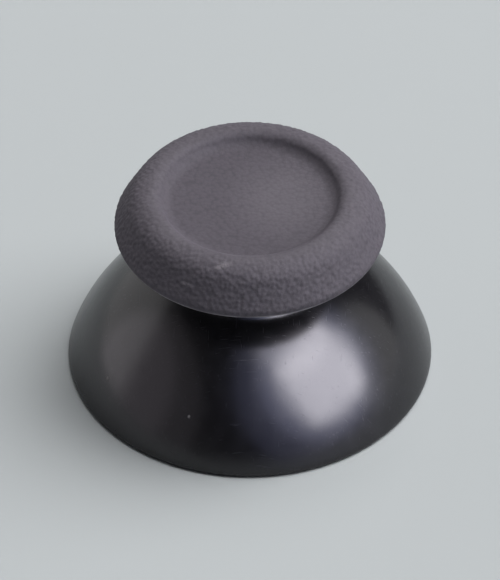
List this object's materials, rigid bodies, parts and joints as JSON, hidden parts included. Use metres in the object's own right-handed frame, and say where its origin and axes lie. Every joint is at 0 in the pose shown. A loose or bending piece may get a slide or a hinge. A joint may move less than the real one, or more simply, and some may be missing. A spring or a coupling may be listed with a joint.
{
  "type": "thumbstick cap",
  "caption": "Mushroom-shaped thumbstick cap: soft dished grip on a hard bell with a short neck, and a ribbed hub with a flatted socket inside.",
  "frame": {"origin": "centre of the rim's plane, on the axis of the stick", "axes": "+Z along the axis of the stick, from the rim up to the grip; +X square to the two flats of the socket, +Y along them"},
  "size_m": [0.0244, 0.0244, 0.0143],
  "materials": {
    "hard_plastic": "moulded gloss, near black",
    "soft_grip": "matt charcoal with a fine stipple"
  },
  "bodies": {
    "root": {"cap_body": "hard_plastic", "rubber_grip": "soft_grip"}
  },
  "joints": []
}
